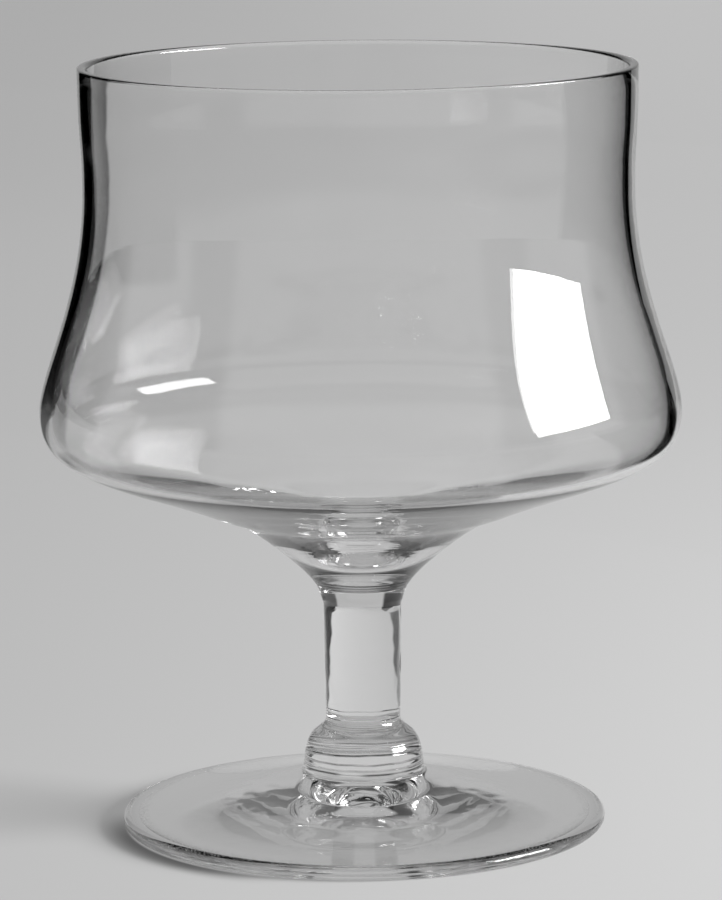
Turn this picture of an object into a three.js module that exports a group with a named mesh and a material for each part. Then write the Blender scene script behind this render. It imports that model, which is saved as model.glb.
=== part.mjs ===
// A footed cocktail glass of clear blown glass, made of four pieces fused end to end:
// a waisted bowl, a short solid stem, a bell-shaped knop and a raised conical foot.
// Millimetres, +Z up. The origin is on the axis, in the plane the foot stands on.

import * as THREE from 'three';

// Foot
const footRadius = 40.3;
const footEdge = 2.5;
const footRise = 8.9;
const footHollow = 4.7;
const restWidth = 1.6;
const filletWidth = 1.1;
const filletDrop = 0.5;

// Knop
const knopRadius = 10.25;
const knopHeight = 9.3;
const knopBaseAngle = THREE.MathUtils.degToRad(100);
const knopShoulderRadius = 8.25;
const knopShoulderDrop = 2.7;
const knopShoulderAngle = THREE.MathUtils.degToRad(138);

// Stem
const stemLength = 22.1;
const stemLowRadius = 6.18;
const stemTopRadius = 7.5;
const collarRadius = 6.45;
const collarHeight = 3.9;
const collarAngle = THREE.MathUtils.degToRad(70);

// Bowl, outside, with heights measured up from its joint with the stem
const bowlHeight = 86.7;
const flareStartAngle = THREE.MathUtils.degToRad(57);
const flareRadius = 11.7;
const flareHeight = 4.55;
const flareAngle = THREE.MathUtils.degToRad(40.5);
const coneRadius = 27;
const coneHeight = 13.6;
const coneAngle = THREE.MathUtils.degToRad(22.2);
const bellyRadius = 53;
const bellyHeight = 29.75;
const waistRadius = 45.3;
const waistHeight = 67;
const lipRadius = 45.85;

// Bowl, wall and inner floor
const rimWall = 1.6;
const rimOuterRound = 0.35;
const rimInnerRound = 0.7;
const waistWall = 1.65;
const bellyWall = 1.85;
const floorThickness = 7;
const wellRadius = 10.2;
const wellDepth = 3.7;
const innerConeRadius = 32.1;
const innerConeHeight = 18.1;
const innerConeAngle = THREE.MathUtils.degToRad(15.3);
const wellAngle = THREE.MathUtils.degToRad(32.5);

// Facets around the axis
const turns = 48;

// Levels of the three fused joints and of the rim
const knopLevel = footRise;
const stemLevel = knopLevel + knopHeight;
const bowlLevel = stemLevel + stemLength;
const rimLevel = bowlLevel + bowlHeight;

const at = (radius, level) => new THREE.Vector2(radius, level);

// A point moved by a length along an angle that is measured up from the outward radius.
const along = (point, length, angle) =>
  at(point.x + length * Math.cos(angle), point.y + length * Math.sin(angle));

const curve = (start, startHandle, endHandle, end, steps) =>
  new THREE.CubicBezierCurve(start, startHandle, endHandle, end).getPoints(steps);

// Joins runs of points into one outline and drops the repeated points where they meet.
function outline(...runs) {
  const points = [];
  for (const run of runs) {
    for (const point of run) {
      const last = points[points.length - 1];
      if (!last || last.distanceTo(point) > 1e-6) points.push(point);
    }
  }
  return points;
}

function turned(name, points, material) {
  const geometry = new THREE.LatheGeometry(points, turns);
  geometry.rotateX(Math.PI / 2);
  const mesh = new THREE.Mesh(geometry, material);
  mesh.name = name;
  return mesh;
}

function clearGlass(color) {
  return new THREE.MeshStandardMaterial({
    color,
    roughness: 0.03,
    metalness: 0,
    transparent: true,
    opacity: 0.35,
  });
}

// Foot: a hollow under it, a flat ring to stand on, a rounded edge and a conical top
// that runs up into a small fillet round the knop.
function footOutline() {
  const edgeRadius = footEdge / 2;
  const edgeCentre = footRadius - edgeRadius;
  const restInside = at(edgeCentre - restWidth, 0);
  const hollowTop = at(0, footHollow);
  const under = curve(
    hollowTop,
    at(0.21 * restInside.x, 0.97 * footHollow),
    at(0.65 * restInside.x, 0.45 * footHollow),
    restInside,
    7,
  );
  const edge = new THREE.Path()
    .absarc(edgeCentre, edgeRadius, edgeRadius, -Math.PI / 2, Math.PI / 2, false)
    .getPoints(3);
  const shoulder = at(edgeCentre, footEdge);
  const filletFoot = at(knopRadius + filletWidth, footRise - filletDrop);
  const run = shoulder.x - filletFoot.x;
  const rise = filletFoot.y - shoulder.y;
  const top = curve(
    shoulder,
    at(shoulder.x - run / 3, shoulder.y + 0.24 * rise),
    at(filletFoot.x + run / 3, filletFoot.y - 0.38 * rise),
    filletFoot,
    8,
  );
  const crown = at(knopRadius, footRise);
  const filletHandle = at(knopRadius + 0.25 * filletWidth, footRise - 0.6 * filletDrop);
  const fillet = new THREE.QuadraticBezierCurve(filletFoot, filletHandle, crown).getPoints(3);
  return outline(under, edge, top, fillet, [at(0, footRise)]);
}

// Knop: steep sides from its base ring to a round shoulder, then a hollow curve to the stem.
function knopOutline() {
  const base = at(knopRadius, knopLevel);
  const shoulder = at(knopShoulderRadius, stemLevel - knopShoulderDrop);
  const side = curve(
    base,
    along(base, 0.3 * knopHeight, knopBaseAngle),
    along(shoulder, -0.33 * (shoulder.y - base.y), knopShoulderAngle),
    shoulder,
    6,
  );
  const top = at(stemLowRadius, stemLevel);
  const neck = curve(
    shoulder,
    along(shoulder, 0.45 * knopShoulderDrop, knopShoulderAngle),
    at(stemLowRadius, stemLevel - 0.5 * knopShoulderDrop),
    top,
    4,
  );
  return outline([at(0, knopLevel)], side, neck, [at(0, stemLevel)]);
}

// Stem: a solid rod that widens slowly upward and swells into a collar under the bowl.
function stemOutline() {
  const low = at(stemLowRadius, stemLevel);
  const top = at(stemTopRadius, bowlLevel);
  const collar = at(collarRadius, bowlLevel - collarHeight);
  const widening = collarRadius - stemLowRadius;
  const rise = collar.y - low.y;
  const shaft = curve(
    low,
    at(low.x + 0.7 * widening, low.y + 0.45 * rise),
    at(collar.x - 0.1 * widening, collar.y - 0.35 * rise),
    collar,
    4,
  );
  const swell = curve(
    collar,
    at(collar.x + 0.1 * widening, collar.y + 0.35 * collarHeight),
    along(top, -0.4 * collarHeight, collarAngle),
    top,
    4,
  );
  return outline([at(0, stemLevel)], shaft, swell, [at(0, bowlLevel)]);
}

// Bowl, outside: flare above the stem, shallow cone, round belly, waist and a slight lip.
function bowlOutside() {
  const joint = at(stemTopRadius, bowlLevel);
  const flare = at(flareRadius, bowlLevel + flareHeight);
  const cone = at(coneRadius, bowlLevel + coneHeight);
  const belly = at(bellyRadius, bowlLevel + bellyHeight);
  const waist = at(waistRadius, bowlLevel + waistHeight);
  const lip = at(lipRadius, rimLevel - rimOuterRound);
  const coneSpan = cone.distanceTo(flare);
  const bellySpan = belly.distanceTo(cone);
  const wallSpan = waist.y - belly.y;
  const lipSpan = lip.y - waist.y;
  const lowFlare = curve(
    joint,
    along(joint, 0.4 * flareHeight, flareStartAngle),
    along(flare, -0.45 * flareHeight, flareAngle),
    flare,
    5,
  );
  const lowCone = curve(
    flare,
    along(flare, 0.65 * coneSpan, flareAngle),
    along(cone, -0.32 * coneSpan, coneAngle),
    cone,
    5,
  );
  const turn = curve(
    cone,
    along(cone, 0.64 * bellySpan, coneAngle),
    at(belly.x, belly.y - 0.3 * bellySpan),
    belly,
    9,
  );
  const wall = curve(
    belly,
    at(belly.x, belly.y + 0.19 * wallSpan),
    at(waist.x, waist.y - 0.49 * wallSpan),
    waist,
    8,
  );
  const mouth = curve(
    waist,
    at(waist.x, waist.y + 0.47 * lipSpan),
    at(lip.x, lip.y - 0.68 * lipSpan),
    lip,
    4,
  );
  return outline(lowFlare, lowCone, turn, wall, mouth);
}

// Bowl, inside: the wall follows the outside, and the floor dips into a shallow well.
function bowlInside() {
  const lip = at(lipRadius - rimWall, rimLevel - rimInnerRound);
  const waist = at(waistRadius - waistWall, bowlLevel + waistHeight);
  const belly = at(bellyRadius - bellyWall, bowlLevel + bellyHeight);
  const cone = at(innerConeRadius, bowlLevel + innerConeHeight);
  const floor = at(0, bowlLevel + floorThickness);
  const well = at(wellRadius, floor.y + wellDepth);
  const lipSpan = lip.y - waist.y;
  const wallSpan = waist.y - belly.y;
  const bellySpan = belly.distanceTo(cone);
  const wellSpan = cone.distanceTo(well);
  const mouth = curve(
    lip,
    at(lip.x, lip.y - 0.68 * lipSpan),
    at(waist.x, waist.y + 0.47 * lipSpan),
    waist,
    4,
  );
  const wall = curve(
    waist,
    at(waist.x, waist.y - 0.49 * wallSpan),
    at(belly.x, belly.y + 0.19 * wallSpan),
    belly,
    8,
  );
  const turn = curve(
    belly,
    at(belly.x, belly.y - 0.3 * bellySpan),
    along(cone, 0.685 * bellySpan, innerConeAngle),
    cone,
    9,
  );
  const slope = curve(
    cone,
    along(cone, -0.224 * wellSpan, innerConeAngle),
    along(well, 0.262 * wellSpan, wellAngle),
    well,
    6,
  );
  const dish = curve(
    well,
    along(well, -0.5 * wellRadius, wellAngle),
    at(0.35 * wellRadius, floor.y),
    floor,
    5,
  );
  return outline(mouth, wall, turn, slope, dish);
}

function bowlOutline() {
  const outerCentre = at(lipRadius - rimOuterRound, rimLevel - rimOuterRound);
  const innerCentre = at(lipRadius - rimWall + rimInnerRound, rimLevel - rimInnerRound);
  const rim = new THREE.Path()
    .absarc(outerCentre.x, outerCentre.y, rimOuterRound, 0, Math.PI / 2, false)
    .absarc(innerCentre.x, innerCentre.y, rimInnerRound, Math.PI / 2, Math.PI, false)
    .getPoints(2);
  return outline([at(0, bowlLevel)], bowlOutside(), rim, bowlInside());
}

const glass = new THREE.Group();
glass.add(turned('foot', footOutline(), clearGlass(0xe6ebea)));
glass.add(turned('knop', knopOutline(), clearGlass(0xe8eceb)));
glass.add(turned('stem', stemOutline(), clearGlass(0xe8eceb)));
glass.add(turned('bowl', bowlOutline(), clearGlass(0xeaeeed)));

export default glass;
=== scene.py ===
"""A footed seafood cocktail glass of clear blown glass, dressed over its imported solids.

Four turned pieces, foot, knop, stem and bowl, stand for the four solids. They are fused glass,
so the faces where they meet are fully transparent and light runs on from piece to piece.
Sizes are in millimetres until a mesh is made, which is in metres, in the part's own frame.
"""

import math

import bpy
from mathutils import Matrix, Vector, noise
from mathutils.geometry import interpolate_bezier


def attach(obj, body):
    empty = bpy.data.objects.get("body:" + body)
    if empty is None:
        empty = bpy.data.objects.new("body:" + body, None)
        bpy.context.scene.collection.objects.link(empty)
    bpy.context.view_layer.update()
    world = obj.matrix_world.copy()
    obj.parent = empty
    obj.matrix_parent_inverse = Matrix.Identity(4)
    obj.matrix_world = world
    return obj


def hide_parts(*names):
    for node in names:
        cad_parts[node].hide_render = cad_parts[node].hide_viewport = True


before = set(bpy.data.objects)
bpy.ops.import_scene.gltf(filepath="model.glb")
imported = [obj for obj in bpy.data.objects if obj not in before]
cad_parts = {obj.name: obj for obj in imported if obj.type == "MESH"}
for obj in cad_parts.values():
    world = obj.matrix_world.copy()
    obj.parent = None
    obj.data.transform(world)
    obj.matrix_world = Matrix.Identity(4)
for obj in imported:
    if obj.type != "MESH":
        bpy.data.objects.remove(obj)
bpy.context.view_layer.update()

MM = 0.001

# Foot
FOOT_RADIUS = 40.3
FOOT_EDGE = 2.5
FOOT_RISE = 8.9
FOOT_HOLLOW = 4.7
REST_WIDTH = 1.6
FILLET_WIDTH = 1.1
FILLET_DROP = 0.5

# Knop
KNOP_RADIUS = 10.25
KNOP_HEIGHT = 9.3
KNOP_BASE_ANGLE = math.radians(100)
KNOP_SHOULDER_RADIUS = 8.25
KNOP_SHOULDER_DROP = 2.7
KNOP_SHOULDER_ANGLE = math.radians(138)

# Stem
STEM_LENGTH = 22.1
STEM_LOW_RADIUS = 6.18
STEM_TOP_RADIUS = 7.5
COLLAR_RADIUS = 6.45
COLLAR_HEIGHT = 3.9
COLLAR_ANGLE = math.radians(70)

# Bowl, outside, with heights measured up from its joint with the stem
BOWL_HEIGHT = 86.7
FLARE_START_ANGLE = math.radians(57)
FLARE_RADIUS = 11.7
FLARE_HEIGHT = 4.55
FLARE_ANGLE = math.radians(40.5)
CONE_RADIUS = 27.0
CONE_HEIGHT = 13.6
CONE_ANGLE = math.radians(22.2)
BELLY_RADIUS = 53.0
BELLY_HEIGHT = 29.75
WAIST_RADIUS = 45.3
WAIST_HEIGHT = 67.0
LIP_RADIUS = 45.85

# Bowl, wall and inner floor
RIM_WALL = 1.6
RIM_OUTER_ROUND = 0.35
RIM_INNER_ROUND = 0.7
WAIST_WALL = 1.65
BELLY_WALL = 1.85
FLOOR_THICKNESS = 7.0
WELL_RADIUS = 10.2
WELL_DEPTH = 3.7
INNER_CONE_RADIUS = 32.1
INNER_CONE_HEIGHT = 18.1
INNER_CONE_ANGLE = math.radians(15.3)
WELL_ANGLE = math.radians(32.5)

# Marks of making. Knop grooves: height above its base at the sides, half width, rise to the
# front, and how much painted shade darkens them
KNOP_GROOVES = (
    (0.3, 0.1, 0.0, 0.6),
    (1.2, 0.25, 0.0, 1.0),
    (1.9, 0.08, 0.0, 0.5),
    (2.8, 0.1, 0.0, 0.85),
    (3.6, 0.13, 0.8, 1.2),
    (4.95, 0.09, 0.55, 0.6),
    (5.4, 0.1, 0.85, 0.85),
    (7.7, 0.1, 0.0, 0.5),
)
GROOVE_DEPTH = 0.02
STEM_WAVE = 0.04
STEM_WAVE_SIZE = 3.2
RIDGE_COUNT = 3
RIDGE_PITCH = 0.5
RIDGE_HEIGHT = 0.03
FLOOR_MARK = 0.008
FLOOR_MARK_PITCH = 1.1
FOOT_RIPPLE = 0.02
FOOT_RIPPLE_SIZE = 2.5

# Levels of the three fused joints and of the rim
KNOP_LEVEL = FOOT_RISE
STEM_LEVEL = KNOP_LEVEL + KNOP_HEIGHT
BOWL_LEVEL = STEM_LEVEL + STEM_LENGTH
RIM_LEVEL = BOWL_LEVEL + BOWL_HEIGHT

# Facets round the axis, and the distance below which two points are one
TURNS = 256
TOUCHING = 0.001

# Glass. Grey is the darkest tint, and scales are of the noise that makes each unevenness
GLASS_IOR = 1.51
GREY = 0.975
GREY_SCALE = 30.0
POLISH_ROUGHNESS = 0.006
POLISH_SCALE = 90.0
REST_ROUGHNESS = (0.05, 0.4)
REST_SCALE = 2500.0
REST_WEAR_HEIGHT = 0.4
CORD_STRENGTH = 0.3
CORD_DEPTH = 0.05
CORD_SCALE = 40.0
CORD_STRETCH = 5.0

# Camera, fitted to the ellipses of the rim and the foot
CAMERA_DISTANCE = 779.06
CAMERA_HEIGHT = 197.69
CAMERA_PITCH = math.radians(9.809)
CAMERA_ROLL = math.radians(-0.5)
PHOTO_WIDTH = 722
FOCAL_PIXELS = 4776.5
SENSOR_WIDTH = 36.0
CLIP_START = 10.0

# Studio
FLOOR_HALF_WIDTH = 6000.0
WORLD_STRENGTH = 0.55
SOFTBOX_PLACE = (880.0, -150.0, 335.0)
SOFTBOX_AIM = (0.0, 0.0, 60.0)
SOFTBOX_WIDTH = 575.0
SOFTBOX_HEIGHT = 300.0
SOFTBOX_POWER = 2.1
SOFTBOX_GRID = math.radians(70)

# Tone of the floor, with painted light and shade. From here on, places on the floor are in metres,
# and a pair is the span over which one value runs into the other
# Painted light: the floor is painted lighter far from the glass than near it
FLOOR_NEAR = 0.6
FLOOR_FAR = 0.88
FLOOR_REACH = (0.03, 0.85)
# Painted shade to the left and painted light to the right
SHADE_LEFT = 0.88
SHADE_RIGHT = 1.1
SHADE_SPAN = (-0.2, 0.2)
# Painted shade over the lamp's hot spot on the floor
LAMP_SPOT_X = 0.5
LAMP_SPOT_Y = -0.12
LAMP_SPOT_TONE = 0.45
LAMP_SPOT_SPAN = (0.2, 0.45)
# Painted light under the foot, for light that comes through the glass
UNDER_FOOT_PAINTED_LIGHT = 1.3
UNDER_FOOT_SPAN = (0.036, 0.04)
# Painted contact shadow close to the left of the foot
CONTACT_SHADE = 0.35
CONTACT_SIDE_X = -0.87
CONTACT_SIDE_Y = -0.5
CONTACT_FACING = (0.75, 1.0)
CONTACT_START = (0.0395, 0.0402)
CONTACT_END = (0.0402, 0.0455)

# Painted shade: dark areas of the floor, standing for the dark room, that show only in the glass.
# Fewer bounces than the first count mean one piece of glass, and more than the second mean many
# reflections
ONE_PIECE_BOUNCES = 2.5
MANY_BOUNCES = 4.5
EDGE_BLUR = (0.0, 0.015)
RIGHT_EDGE = 0.085
RIGHT_SLOPE = 0.27
RIGHT_ONE_PIECE = 0.015
RIGHT_START = (0.02, 0.04)
LEFT_EDGE = -0.077
LEFT_SLOPE = -0.1225
LEFT_NEAR_SLOPE = 1.25
LEFT_START = (-0.05, 0.0)
LEFT_ONE_PIECE = (-0.13, -0.1)
LEFT_NEAR_DARK = 0.75
LEFT_DEPTH = (0.3, 0.7)
CORRIDOR_SPAN = (0.09, 0.13)
CORRIDOR_START = (0.18, 0.22)
WINDOW_START = (0.17, 0.27)
WINDOW_SLOPE = 0.12
WINDOW_SIDE_SLOPE = 0.5
WINDOW_BLUR = (-0.02, 0.02)
MANY_NEAR = 0.15
MANY_FAR = 0.85
MANY_SPAN = (0.2, 0.35)

# The studio that shows in the glass, by direction: a pale strip, a wider pale band low down
# behind, and the dark room
BACKDROP = 0.47
ROOM_LEFT = 0.02
ROOM_RIGHT = 0.08
ROOM_SPAN = (-0.2, 0.2)
STRIP_SLOPE = 0.27
STRIP_BLUR = (-0.03, 0.05)
STRIP_TOP = (0.72, 0.9)
FRONT_WIDTH = 0.6
FRONT_SPAN = (-0.4, 0.1)
LOW_TOP = (0.3, 0.45)
LOW_START = (0.0, 0.3)
LOW_SHIFT = 0.06
LOW_WIDTH = 0.17
SIDE_DEPTH = (0.25, 0.35)
SIDE_TOP = (0.15, 0.3)

# Bounces that the clear glass needs
MAX_BOUNCES = 24
GLOSSY_BOUNCES = 12
TRANSPARENT_BOUNCES = 32


def at(radius, level):
    return Vector((radius, level))


def along(point, length, angle):
    """A point moved by a length along an angle that is measured up from the outward radius."""
    return at(point.x + length * math.cos(angle), point.y + length * math.sin(angle))


def curve(start, start_handle, end_handle, end, steps):
    return interpolate_bezier(start, start_handle, end_handle, end, steps + 1)


def arc(centre, radius, start, end, steps):
    angles = [start + (end - start) * step / steps for step in range(steps + 1)]
    return [along(centre, radius, angle) for angle in angles]


def outline(*runs):
    """Joins runs of points into one outline and drops the repeated points where they meet."""
    points = []
    for run in runs:
        for point in run:
            if not points or (points[-1] - point).length > TOUCHING:
                points.append(point)
    return points


def foot_outline():
    edge_radius = FOOT_EDGE / 2
    edge_centre = at(FOOT_RADIUS - edge_radius, edge_radius)
    rest_inside = at(edge_centre.x - REST_WIDTH, 0)
    under = curve(
        at(0, FOOT_HOLLOW),
        at(0.21 * rest_inside.x, 0.97 * FOOT_HOLLOW),
        at(0.65 * rest_inside.x, 0.45 * FOOT_HOLLOW),
        rest_inside,
        48,
    )
    edge = arc(edge_centre, edge_radius, -math.pi / 2, math.pi / 2, 24)
    shoulder = at(edge_centre.x, FOOT_EDGE)
    fillet_foot = at(KNOP_RADIUS + FILLET_WIDTH, FOOT_RISE - FILLET_DROP)
    run = shoulder.x - fillet_foot.x
    rise = fillet_foot.y - shoulder.y
    top = curve(
        shoulder,
        at(shoulder.x - run / 3, shoulder.y + 0.24 * rise),
        at(fillet_foot.x + run / 3, fillet_foot.y - 0.38 * rise),
        fillet_foot,
        80,
    )
    crown = at(KNOP_RADIUS, FOOT_RISE)
    handle = at(KNOP_RADIUS + 0.25 * FILLET_WIDTH, FOOT_RISE - 0.6 * FILLET_DROP)
    low_handle = fillet_foot.lerp(handle, 2 / 3)
    high_handle = crown.lerp(handle, 2 / 3)
    fillet = curve(fillet_foot, low_handle, high_handle, crown, 16)
    return outline(under, edge, top, fillet, [at(0, FOOT_RISE)])


def knop_outline():
    base = at(KNOP_RADIUS, KNOP_LEVEL)
    shoulder = at(KNOP_SHOULDER_RADIUS, STEM_LEVEL - KNOP_SHOULDER_DROP)
    side = curve(
        base,
        along(base, 0.3 * KNOP_HEIGHT, KNOP_BASE_ANGLE),
        along(shoulder, -0.33 * (shoulder.y - base.y), KNOP_SHOULDER_ANGLE),
        shoulder,
        120,
    )
    top = at(STEM_LOW_RADIUS, STEM_LEVEL)
    neck = curve(
        shoulder,
        along(shoulder, 0.45 * KNOP_SHOULDER_DROP, KNOP_SHOULDER_ANGLE),
        at(STEM_LOW_RADIUS, STEM_LEVEL - 0.5 * KNOP_SHOULDER_DROP),
        top,
        48,
    )
    return outline([at(0, KNOP_LEVEL)], side, neck, [at(0, STEM_LEVEL)])


def stem_outline():
    low = at(STEM_LOW_RADIUS, STEM_LEVEL)
    top = at(STEM_TOP_RADIUS, BOWL_LEVEL)
    collar = at(COLLAR_RADIUS, BOWL_LEVEL - COLLAR_HEIGHT)
    widening = COLLAR_RADIUS - STEM_LOW_RADIUS
    rise = collar.y - low.y
    shaft = curve(
        low,
        at(low.x + 0.7 * widening, low.y + 0.45 * rise),
        at(collar.x - 0.1 * widening, collar.y - 0.35 * rise),
        collar,
        96,
    )
    swell = curve(
        collar,
        at(collar.x + 0.1 * widening, collar.y + 0.35 * COLLAR_HEIGHT),
        along(top, -0.4 * COLLAR_HEIGHT, COLLAR_ANGLE),
        top,
        40,
    )
    return outline([at(0, STEM_LEVEL)], shaft, swell, [at(0, BOWL_LEVEL)])


def bowl_outside():
    joint = at(STEM_TOP_RADIUS, BOWL_LEVEL)
    flare = at(FLARE_RADIUS, BOWL_LEVEL + FLARE_HEIGHT)
    cone = at(CONE_RADIUS, BOWL_LEVEL + CONE_HEIGHT)
    belly = at(BELLY_RADIUS, BOWL_LEVEL + BELLY_HEIGHT)
    waist = at(WAIST_RADIUS, BOWL_LEVEL + WAIST_HEIGHT)
    lip = at(LIP_RADIUS, RIM_LEVEL - RIM_OUTER_ROUND)
    cone_span = (cone - flare).length
    belly_span = (belly - cone).length
    wall_span = waist.y - belly.y
    lip_span = lip.y - waist.y
    low_flare = curve(
        joint,
        along(joint, 0.4 * FLARE_HEIGHT, FLARE_START_ANGLE),
        along(flare, -0.45 * FLARE_HEIGHT, FLARE_ANGLE),
        flare,
        56,
    )
    low_cone = curve(
        flare,
        along(flare, 0.65 * cone_span, FLARE_ANGLE),
        along(cone, -0.32 * cone_span, CONE_ANGLE),
        cone,
        40,
    )
    turn = curve(
        cone,
        along(cone, 0.64 * belly_span, CONE_ANGLE),
        at(belly.x, belly.y - 0.3 * belly_span),
        belly,
        40,
    )
    wall = curve(
        belly,
        at(belly.x, belly.y + 0.19 * wall_span),
        at(waist.x, waist.y - 0.49 * wall_span),
        waist,
        28,
    )
    mouth = curve(
        waist,
        at(waist.x, waist.y + 0.47 * lip_span),
        at(lip.x, lip.y - 0.68 * lip_span),
        lip,
        14,
    )
    return outline(low_flare, low_cone, turn, wall, mouth)


def bowl_inside():
    lip = at(LIP_RADIUS - RIM_WALL, RIM_LEVEL - RIM_INNER_ROUND)
    waist = at(WAIST_RADIUS - WAIST_WALL, BOWL_LEVEL + WAIST_HEIGHT)
    belly = at(BELLY_RADIUS - BELLY_WALL, BOWL_LEVEL + BELLY_HEIGHT)
    cone = at(INNER_CONE_RADIUS, BOWL_LEVEL + INNER_CONE_HEIGHT)
    floor = at(0, BOWL_LEVEL + FLOOR_THICKNESS)
    well = at(WELL_RADIUS, floor.y + WELL_DEPTH)
    lip_span = lip.y - waist.y
    wall_span = waist.y - belly.y
    belly_span = (belly - cone).length
    well_span = (cone - well).length
    mouth = curve(
        lip,
        at(lip.x, lip.y - 0.68 * lip_span),
        at(waist.x, waist.y + 0.47 * lip_span),
        waist,
        14,
    )
    wall = curve(
        waist,
        at(waist.x, waist.y - 0.49 * wall_span),
        at(belly.x, belly.y + 0.19 * wall_span),
        belly,
        28,
    )
    turn = curve(
        belly,
        at(belly.x, belly.y - 0.3 * belly_span),
        along(cone, 0.685 * belly_span, INNER_CONE_ANGLE),
        cone,
        40,
    )
    slope = curve(
        cone,
        along(cone, -0.224 * well_span, INNER_CONE_ANGLE),
        along(well, 0.262 * well_span, WELL_ANGLE),
        well,
        56,
    )
    dish = curve(
        well,
        along(well, -0.5 * WELL_RADIUS, WELL_ANGLE),
        at(0.35 * WELL_RADIUS, floor.y),
        floor,
        40,
    )
    return outline(mouth, wall, turn, slope, dish)


def bowl_outline():
    outer_centre = at(LIP_RADIUS - RIM_OUTER_ROUND, RIM_LEVEL - RIM_OUTER_ROUND)
    inner_centre = at(LIP_RADIUS - RIM_WALL + RIM_INNER_ROUND, RIM_LEVEL - RIM_INNER_ROUND)
    outer_rim = arc(outer_centre, RIM_OUTER_ROUND, 0, math.pi / 2, 8)
    inner_rim = arc(inner_centre, RIM_INNER_ROUND, math.pi / 2, math.pi, 10)
    return outline([at(0, BOWL_LEVEL)], bowl_outside(), outer_rim, inner_rim, bowl_inside())


def smooth(value, start, end):
    """Runs smoothly from 0 at the start to 1 at the end."""
    part = min(max((value - start) / (end - start), 0.0), 1.0)
    return part * part * (3 - 2 * part)


def within(value, low, high, blur):
    return smooth(value, low - blur, low + blur) * (1 - smooth(value, high - blur, high + blur))


def foot_relief(point, place):
    """Ripples where the hot foot was spread, on its top round the knop."""
    if point.y < FOOT_HOLLOW:
        return 0.0, 0.0
    ripples = FOOT_RIPPLE * noise.noise(place / FOOT_RIPPLE_SIZE)
    sideways = smooth(abs(place.x) / point.x, 0.5, 0.85)
    return ripples * sideways * within(point.x, KNOP_RADIUS + 3, 0.6 * FOOT_RADIUS, 1.5), 0.0


def knop_relief(point, place):
    """Grooves that the maker's tool left round the knop, darkened with painted shade. Each one
    tilts, wanders and fades.
    """
    forward = -place.y / point.x
    shift = 0.0
    painted_shade = 0.0
    for number, (height, width, tilt, strength) in enumerate(KNOP_GROOVES):
        spot = Vector((place.x, place.y, 9.0 * number)) / KNOP_RADIUS
        level = KNOP_LEVEL + height + tilt * forward + 0.12 * noise.noise(3 * spot)
        groove = math.exp(-(((point.y - level) / width) ** 2))
        shift -= GROOVE_DEPTH * groove
        # Painted shade: each groove darkens the glass's colour where the noise lets it
        painted_shade += strength * groove * smooth(noise.noise(2.3 * spot), -0.45, 0.1)
    return shift * within(point.y, KNOP_LEVEL + 0.1, STEM_LEVEL - 0.3, 0.1), min(painted_shade, 1.0)


def stem_relief(point, place):
    """Slow waves in the drawn stem."""
    waves = STEM_WAVE * noise.noise(place / STEM_WAVE_SIZE)
    return waves * within(point.y, STEM_LEVEL + 1.5, BOWL_LEVEL - 1.5, 1), 0.0


def bowl_relief(point, place):
    """Fine ridges over the joint with the stem, with painted shade in their troughs, and turning
    marks in the floor round the well.
    """
    height = point.y - BOWL_LEVEL
    ridges_end = RIDGE_COUNT * RIDGE_PITCH
    if height < ridges_end + 0.3:
        wave = math.sin(2 * math.pi * height / RIDGE_PITCH)
        window = within(height, 0.1, ridges_end, 0.1)
        # The second value is painted shade in the troughs of the ridges
        return RIDGE_HEIGHT * wave * window, 0.8 * max(-wave, 0.0) ** 3 * window
    inside = height > FLOOR_THICKNESS - 1.3 + 0.36 * point.x
    if inside and point.x < CONE_RADIUS:
        turning = point.x / FLOOR_MARK_PITCH + 0.3 * noise.noise(place / 6)
        painted_shades_and_turning_marks = FLOOR_MARK * math.sin(2 * math.pi * turning)
        return painted_shades_and_turning_marks * within(point.x, 0.6 * WELL_RADIUS, 0.85 * CONE_RADIUS, 2), 0.0
    return 0.0, 0.0


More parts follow.
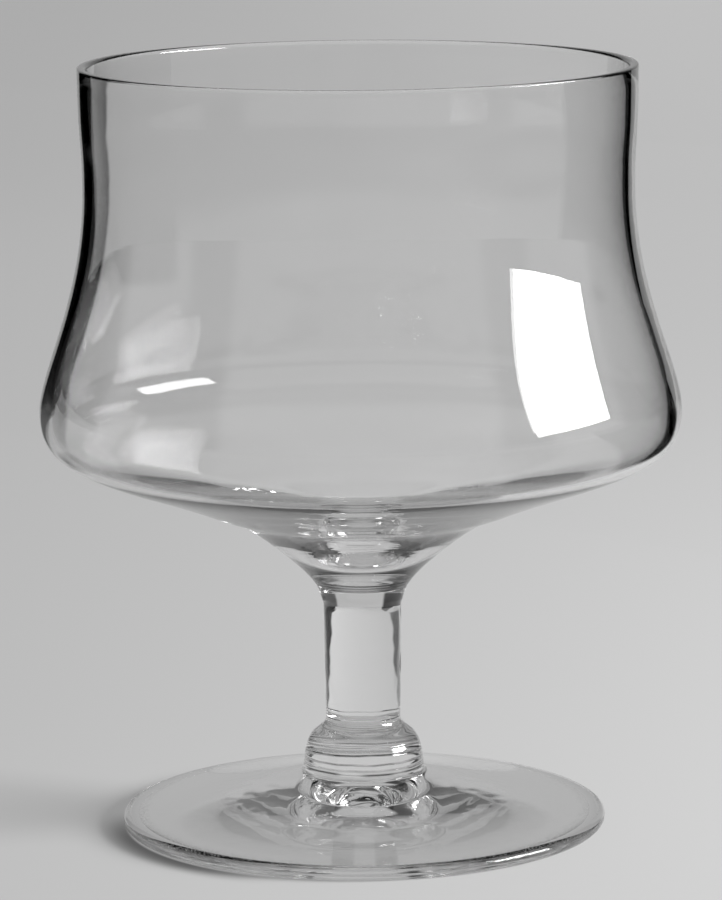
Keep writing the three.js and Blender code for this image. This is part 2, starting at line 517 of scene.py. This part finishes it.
def turned(name, points, relief, glass, weld):
    """A closed mesh turned about Z. Flat faces that run to the axis at a joint are the weld."""
    joints = (KNOP_LEVEL, STEM_LEVEL, BOWL_LEVEL)
    vertices = []
    painted_shades_and_turning_marks = []
    rings = []
    for index, point in enumerate(points):
        if point.x < TOUCHING:
            rings.append([len(vertices)] * TURNS)
            vertices.append((0.0, 0.0, point.y * MM))
            painted_shades_and_turning_marks.append(0.0)
            continue
        rings.append(list(range(len(vertices), len(vertices) + TURNS)))
        run = points[min(index + 1, len(points) - 1)] - points[index - 1]
        outward = at(run.y, -run.x).normalized()
        at_joint = any(abs(point.y - joint) < TOUCHING for joint in joints)
        for step in range(TURNS):
            angle = 2 * math.pi * step / TURNS
            place = Vector((point.x * math.cos(angle), point.x * math.sin(angle), point.y))
            # The second value of a relief is painted shade, kept on the mesh as an attribute
            shift, painted_shade = (0.0, 0.0) if at_joint else relief(point, place)
            painted_shades_and_turning_marks.append(painted_shade)
            radius = (point.x + shift * outward.x) * MM
            level = (point.y + shift * outward.y) * MM
            vertices.append((radius * math.cos(angle), radius * math.sin(angle), level))
    faces = []
    slots = []
    for index in range(len(points) - 1):
        low = rings[index]
        high = rings[index + 1]
        ends = (points[index].y, points[index + 1].y)
        flat = any(max(abs(end - joint) for end in ends) < TOUCHING for joint in joints)
        for step in range(TURNS):
            after = (step + 1) % TURNS
            face = (low[step], low[after], high[after], high[step])
            faces.append(tuple(dict.fromkeys(face)))
            slots.append(1 if flat else 0)
    mesh = bpy.data.meshes.new(name)
    mesh.from_pydata(vertices, [], faces)
    # The attribute holds painted shade for the glass's colour
    mesh.attributes.new("groove_shade_paint", "FLOAT", "POINT").data.foreach_set("value", painted_shades_and_turning_marks)
    mesh.materials.append(glass)
    mesh.materials.append(weld)
    for polygon, slot in zip(mesh.polygons, slots):
        polygon.use_smooth = slot == 0
        polygon.material_index = slot
    piece = bpy.data.objects.new(name, mesh)
    bpy.context.scene.collection.objects.link(piece)
    return piece


def ramp(tree, value, start, end, low, high):
    step = tree.nodes.new("ShaderNodeMapRange")
    step.inputs["From Min"].default_value = start
    step.inputs["From Max"].default_value = end
    step.inputs["To Min"].default_value = low
    step.inputs["To Max"].default_value = high
    tree.links.new(value, step.inputs["Value"])
    return step.outputs[0]


def clouds(tree, place, scale, detail):
    texture = tree.nodes.new("ShaderNodeTexNoise")
    texture.inputs["Scale"].default_value = scale
    texture.inputs["Detail"].default_value = detail
    tree.links.new(place, texture.inputs["Vector"])
    return texture.outputs["Fac"]


def clear_glass(name):
    """Clear glass with faint cords drawn round the axis, an uneven polish and a trace of grey."""
    material = bpy.data.materials.new(name)
    material.use_nodes = True
    tree = material.node_tree
    shader = tree.nodes["Principled BSDF"]
    shader.inputs["IOR"].default_value = GLASS_IOR
    shader.inputs["Transmission Weight"].default_value = 1.0
    place = tree.nodes.new("ShaderNodeTexCoord").outputs["Object"]
    grey = ramp(tree, clouds(tree, place, GREY_SCALE, 2.0), 0.3, 0.7, GREY, 1.0)
    # The grey is darkened by the painted shade of the grooves and ridges
    groove_shade_paint = tree.nodes.new("ShaderNodeAttribute")
    groove_shade_paint.attribute_name = "groove_shade_paint"
    grey_and_painted_shade = tree.nodes.new("ShaderNodeMath")
    grey_and_painted_shade.operation = "MULTIPLY"
    tree.links.new(grey, grey_and_painted_shade.inputs[0])
    tree.links.new(ramp(tree, groove_shade_paint.outputs["Fac"], 0.0, 1.0, 1.0, 0.0), grey_and_painted_shade.inputs[1])
    tree.links.new(grey_and_painted_shade.outputs[0], shader.inputs["Base Color"])
    smears = clouds(tree, place, POLISH_SCALE, 6.0)
    polish = ramp(tree, smears, 0.45, 0.8, 0.0, POLISH_ROUGHNESS)
    wear = ramp(tree, clouds(tree, place, REST_SCALE, 3.0), 0.4, 0.6, *REST_ROUGHNESS)
    level = tree.nodes.new("ShaderNodeSeparateXYZ")
    tree.links.new(place, level.inputs[0])
    resting = ramp(tree, level.outputs["Z"], 0.0, REST_WEAR_HEIGHT * MM, 1.0, 0.0)
    roughness = tree.nodes.new("ShaderNodeMix")
    tree.links.new(resting, roughness.inputs["Factor"])
    tree.links.new(polish, roughness.inputs["A"])
    tree.links.new(wear, roughness.inputs["B"])
    tree.links.new(roughness.outputs["Result"], shader.inputs["Roughness"])
    drawn = tree.nodes.new("ShaderNodeMapping")
    drawn.inputs["Scale"].default_value = (1.0, 1.0, CORD_STRETCH)
    tree.links.new(place, drawn.inputs["Vector"])
    bump = tree.nodes.new("ShaderNodeBump")
    bump.inputs["Strength"].default_value = CORD_STRENGTH
    bump.inputs["Distance"].default_value = CORD_DEPTH * MM
    tree.links.new(clouds(tree, drawn.outputs["Vector"], CORD_SCALE, 2.0), bump.inputs["Height"])
    tree.links.new(bump.outputs["Normal"], shader.inputs["Normal"])
    return material


def weld_glass():
    material = bpy.data.materials.new("fused_joint")
    material.use_nodes = True
    nodes = material.node_tree.nodes
    nodes.remove(nodes["Principled BSDF"])
    clear = nodes.new("ShaderNodeBsdfTransparent")
    material.node_tree.links.new(clear.outputs[0], nodes["Material Output"].inputs["Surface"])
    return material


weld = weld_glass()
pieces = {
    "foot": (foot_outline(), foot_relief),
    "knop": (knop_outline(), knop_relief),
    "stem": (stem_outline(), stem_relief),
    "bowl": (bowl_outline(), bowl_relief),
}
for node, (points, relief) in pieces.items():
    piece = turned(node + "_glass", points, relief, clear_glass(node + "_glass"), weld)
    piece.visible_diffuse = False
    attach(piece, "root")
    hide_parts(node)


def combine(tree, operation, first, second):
    step = tree.nodes.new("ShaderNodeMath")
    step.operation = operation
    for socket, value in zip(step.inputs, (first, second)):
        if isinstance(value, float):
            socket.default_value = value
        else:
            tree.links.new(value, socket)
    return step.outputs[0]


def fall_off(tree, value, start, end, low, high):
    """Runs smoothly from the low value at the start to the high value at the end."""
    step = tree.nodes.new("ShaderNodeMapRange")
    step.interpolation_type = "SMOOTHSTEP"
    for name, number in zip(("From Min", "From Max", "To Min", "To Max"), (start, end, low, high)):
        step.inputs[name].default_value = number
    tree.links.new(value, step.inputs["Value"])
    return step.outputs[0]


def flat_stage(name, corners):
    mesh = bpy.data.meshes.new(name)
    mesh.from_pydata([Vector(corner) * MM for corner in corners], [], [range(len(corners))])
    panel = bpy.data.objects.new(name, mesh)
    bpy.context.scene.collection.objects.link(panel)
    material = bpy.data.materials.new(name)
    material.use_nodes = True
    shader = material.node_tree.nodes["Principled BSDF"]
    shader.inputs["Roughness"].default_value = 1.0
    shader.inputs["Specular IOR Level"].default_value = 0.0
    mesh.materials.append(material)
    return material.node_tree, shader


def multiply(tree, first, second):
    return combine(tree, "MULTIPLY", first, second)


def reach_from(tree, x, y):
    squares = combine(tree, "ADD", multiply(tree, x, x), multiply(tree, y, y))
    return combine(tree, "SQRT", squares, 0.0)


def invert(tree, value):
    return combine(tree, "SUBTRACT", 1.0, value)


def pale_floor(tree, x, y, reach):
    """Pale grey with painted light and shade: lighter far off, darker to the left and near the
    lamp, painted light under the foot and a painted contact shadow close to the left of the foot.
    """
    # Painted light: lighter with distance from the glass
    tone = fall_off(tree, reach, *FLOOR_REACH, FLOOR_NEAR, FLOOR_FAR)
    # Painted shade and light from left to right
    tone = multiply(tree, tone, fall_off(tree, x, *SHADE_SPAN, SHADE_LEFT, SHADE_RIGHT))
    # Painted shade over the lamp's hot spot
    lamp_x = combine(tree, "SUBTRACT", x, LAMP_SPOT_X)
    lamp_y = combine(tree, "SUBTRACT", y, LAMP_SPOT_Y)
    from_lamp = reach_from(tree, lamp_x, lamp_y)
    tone = multiply(tree, tone, fall_off(tree, from_lamp, *LAMP_SPOT_SPAN, LAMP_SPOT_TONE, 1.0))
    # Painted light on the floor under the foot
    tone = multiply(tree, tone, fall_off(tree, reach, *UNDER_FOOT_SPAN, UNDER_FOOT_PAINTED_LIGHT, 1.0))
    # Painted contact shadow, facing away from the lamp
    side_x = multiply(tree, x, CONTACT_SIDE_X)
    side_y = multiply(tree, y, CONTACT_SIDE_Y)
    sideways = combine(tree, "DIVIDE", combine(tree, "ADD", side_x, side_y), reach)
    facing = fall_off(tree, sideways, *CONTACT_FACING, 0.0, 1.0)
    outside = fall_off(tree, reach, *CONTACT_START, 0.0, 1.0)
    close = multiply(tree, outside, fall_off(tree, reach, *CONTACT_END, 1.0, 0.0))
    painted_contact_shadow = multiply(tree, multiply(tree, facing, close), CONTACT_SHADE - 1.0)
    return multiply(tree, tone, combine(tree, "ADD", painted_contact_shadow, 1.0))


def dark_right(tree, x, y, single):
    edge = combine(tree, "ADD", multiply(tree, y, RIGHT_SLOPE), RIGHT_EDGE)
    edge = combine(tree, "SUBTRACT", edge, multiply(tree, single, RIGHT_ONE_PIECE))
    dark = fall_off(tree, combine(tree, "SUBTRACT", x, edge), *EDGE_BLUR, 0.0, 1.0)
    return multiply(tree, dark, fall_off(tree, y, *RIGHT_START, 0.0, 1.0))


def dark_left(tree, x, y, reach, single):
    edge = combine(tree, "ADD", multiply(tree, y, LEFT_SLOPE), LEFT_EDGE)
    dark = fall_off(tree, combine(tree, "SUBTRACT", edge, x), *EDGE_BLUR, 0.0, 1.0)
    behind = combine(tree, "ADD", y, multiply(tree, x, LEFT_NEAR_SLOPE))
    deep = fall_off(tree, behind, *LEFT_START, 0.0, 1.0)
    shallow = multiply(tree, single, fall_off(tree, behind, *LEFT_ONE_PIECE, 0.0, 1.0))
    dark = multiply(tree, dark, combine(tree, "MAXIMUM", deep, shallow))
    dark = multiply(tree, dark, fall_off(tree, y, *LEFT_DEPTH, LEFT_NEAR_DARK, 1.0))
    diagonal = combine(tree, "ABSOLUTE", combine(tree, "ADD", x, y), 0.0)
    corridor = fall_off(tree, diagonal, *CORRIDOR_SPAN, 1.0, 0.0)
    corridor = multiply(tree, corridor, fall_off(tree, reach, *CORRIDOR_START, 0.0, 1.0))
    return multiply(tree, dark, invert(tree, corridor))


def stem_window(tree, x, y, single):
    """The part of the far floor that stays pale in the stem."""
    window = multiply(tree, single, fall_off(tree, y, *WINDOW_START, 0.0, 1.0))
    middle = multiply(tree, y, WINDOW_SLOPE)
    aside = combine(tree, "ABSOLUTE", combine(tree, "SUBTRACT", x, middle), 0.0)
    aside = combine(tree, "SUBTRACT", aside, multiply(tree, y, WINDOW_SIDE_SLOPE))
    return multiply(tree, window, fall_off(tree, aside, *WINDOW_BLUR, 1.0, 0.0))


def floor_tone(tree):
    """A pale floor with painted light and shade, which in the glass ends in painted shade for the
    dark room on both sides.
    """
    light_path = tree.nodes.new("ShaderNodeLightPath").outputs
    split = tree.nodes.new("ShaderNodeSeparateXYZ")
    tree.links.new(tree.nodes.new("ShaderNodeTexCoord").outputs["Object"], split.inputs[0])
    x = split.outputs["X"]
    y = split.outputs["Y"]
    reach = reach_from(tree, x, y)
    tone = pale_floor(tree, x, y, reach)
    bounces = combine(tree, "ADD", light_path["Transmission Depth"], light_path["Glossy Depth"])
    single = combine(tree, "LESS_THAN", bounces, ONE_PIECE_BOUNCES)
    # Painted shade, seen only in the glass, for the dark room to the left and right
    left = dark_left(tree, x, y, reach, single)
    dark = combine(tree, "MAXIMUM", left, dark_right(tree, x, y, single))
    dark = multiply(tree, dark, invert(tree, stem_window(tree, x, y, single)))
    # Painted shade where the light has bounced many times in the glass
    many = combine(tree, "GREATER_THAN", bounces, MANY_BOUNCES)
    many = multiply(tree, many, fall_off(tree, reach, *MANY_SPAN, MANY_NEAR, MANY_FAR))
    dark = combine(tree, "MAXIMUM", dark, many)
    dark = multiply(tree, dark, invert(tree, light_path["Is Camera Ray"]))
    return multiply(tree, tone, invert(tree, dark))


half = FLOOR_HALF_WIDTH
corners = [(-half, -half, 0), (half, -half, 0), (half, half, 0), (-half, half, 0)]
floor_tree, floor_shader = flat_stage("floor", corners)
floor_tree.links.new(floor_tone(floor_tree), floor_shader.inputs["Base Color"])

# The studio round the set. Light that reaches the floor is even. In the glass, the studio shows
# as a pale strip in front and behind and a pale band low down, with the dark room beside them.
world = bpy.data.worlds.new("studio")
world.use_nodes = True
tree = world.node_tree
nodes = tree.nodes
links = tree.links
soft_light = nodes["Background"]
soft_light.inputs["Color"].default_value = (1.0, 1.0, 1.0, 1.0)
soft_light.inputs["Strength"].default_value = WORLD_STRENGTH
split = nodes.new("ShaderNodeSeparateXYZ")
links.new(nodes.new("ShaderNodeTexCoord").outputs["Generated"], split.inputs[0])
x = split.outputs["X"]
y = split.outputs["Y"]
z = split.outputs["Z"]
low = fall_off(tree, z, *LOW_TOP, 1.0, 0.0)
low = multiply(tree, low, fall_off(tree, y, *LOW_START, 0.0, 1.0))
centred = combine(tree, "SUBTRACT", x, multiply(tree, low, LOW_SHIFT))
across = combine(tree, "ABSOLUTE", centred, 0.0)
depth = combine(tree, "ABSOLUTE", y, 0.0)
front = fall_off(tree, y, *FRONT_SPAN, FRONT_WIDTH, 0.0)
edge = combine(tree, "ADD", multiply(tree, depth, STRIP_SLOPE), front)
edge = combine(tree, "ADD", edge, multiply(tree, low, LOW_WIDTH))
strip = fall_off(tree, combine(tree, "SUBTRACT", across, edge), *STRIP_BLUR, 1.0, 0.0)
strip = multiply(tree, strip, fall_off(tree, z, *STRIP_TOP, 1.0, 0.0))
side_roll = fall_off(tree, depth, *SIDE_DEPTH, 1.0, 0.0)
side_roll = multiply(tree, side_roll, fall_off(tree, z, *SIDE_TOP, 1.0, 0.0))
room = fall_off(tree, x, *ROOM_SPAN, ROOM_LEFT, ROOM_RIGHT)
tone = nodes.new("ShaderNodeMix")
links.new(combine(tree, "MAXIMUM", strip, side_roll), tone.inputs["Factor"])
links.new(room, tone.inputs["A"])
tone.inputs["B"].default_value = BACKDROP
backdrop = nodes.new("ShaderNodeBackground")
links.new(tone.outputs["Result"], backdrop.inputs["Color"])
light_path = nodes.new("ShaderNodeLightPath")
scattered = combine(tree, "MINIMUM", light_path.outputs["Diffuse Depth"], 1.0)
studio = nodes.new("ShaderNodeMixShader")
links.new(scattered, studio.inputs["Fac"])
links.new(backdrop.outputs[0], studio.inputs[1])
links.new(soft_light.outputs[0], studio.inputs[2])
links.new(studio.outputs[0], nodes["World Output"].inputs["Surface"])
bpy.context.scene.world = world

lamp = bpy.data.lights.new("softbox", "AREA")
lamp.shape = "RECTANGLE"
lamp.size = SOFTBOX_WIDTH * MM
lamp.size_y = SOFTBOX_HEIGHT * MM
lamp.energy = SOFTBOX_POWER
lamp.spread = SOFTBOX_GRID
softbox = bpy.data.objects.new("softbox", lamp)
bpy.context.scene.collection.objects.link(softbox)
softbox.location = Vector(SOFTBOX_PLACE) * MM
aim = Vector(SOFTBOX_AIM) * MM - softbox.location
softbox.rotation_euler = aim.to_track_quat("-Z", "Y").to_euler()

camera_data = bpy.data.cameras.new("camera")
camera_data.sensor_fit = "HORIZONTAL"
camera_data.sensor_width = SENSOR_WIDTH
camera_data.lens = SENSOR_WIDTH * FOCAL_PIXELS / PHOTO_WIDTH
camera_data.clip_start = CLIP_START * MM
camera = bpy.data.objects.new("camera", camera_data)
bpy.context.scene.collection.objects.link(camera)
camera.matrix_world = (
    Matrix.Translation(Vector((0, -CAMERA_DISTANCE, CAMERA_HEIGHT)) * MM)
    @ Matrix.Rotation(math.pi / 2 - CAMERA_PITCH, 4, "X")
    @ Matrix.Rotation(CAMERA_ROLL, 4, "Z")
)
bpy.context.scene.camera = camera

scene = bpy.context.scene
scene.view_settings.view_transform = "Standard"
scene.cycles.max_bounces = MAX_BOUNCES
scene.cycles.transmission_bounces = MAX_BOUNCES
scene.cycles.glossy_bounces = GLOSSY_BOUNCES
scene.cycles.transparent_max_bounces = TRANSPARENT_BOUNCES
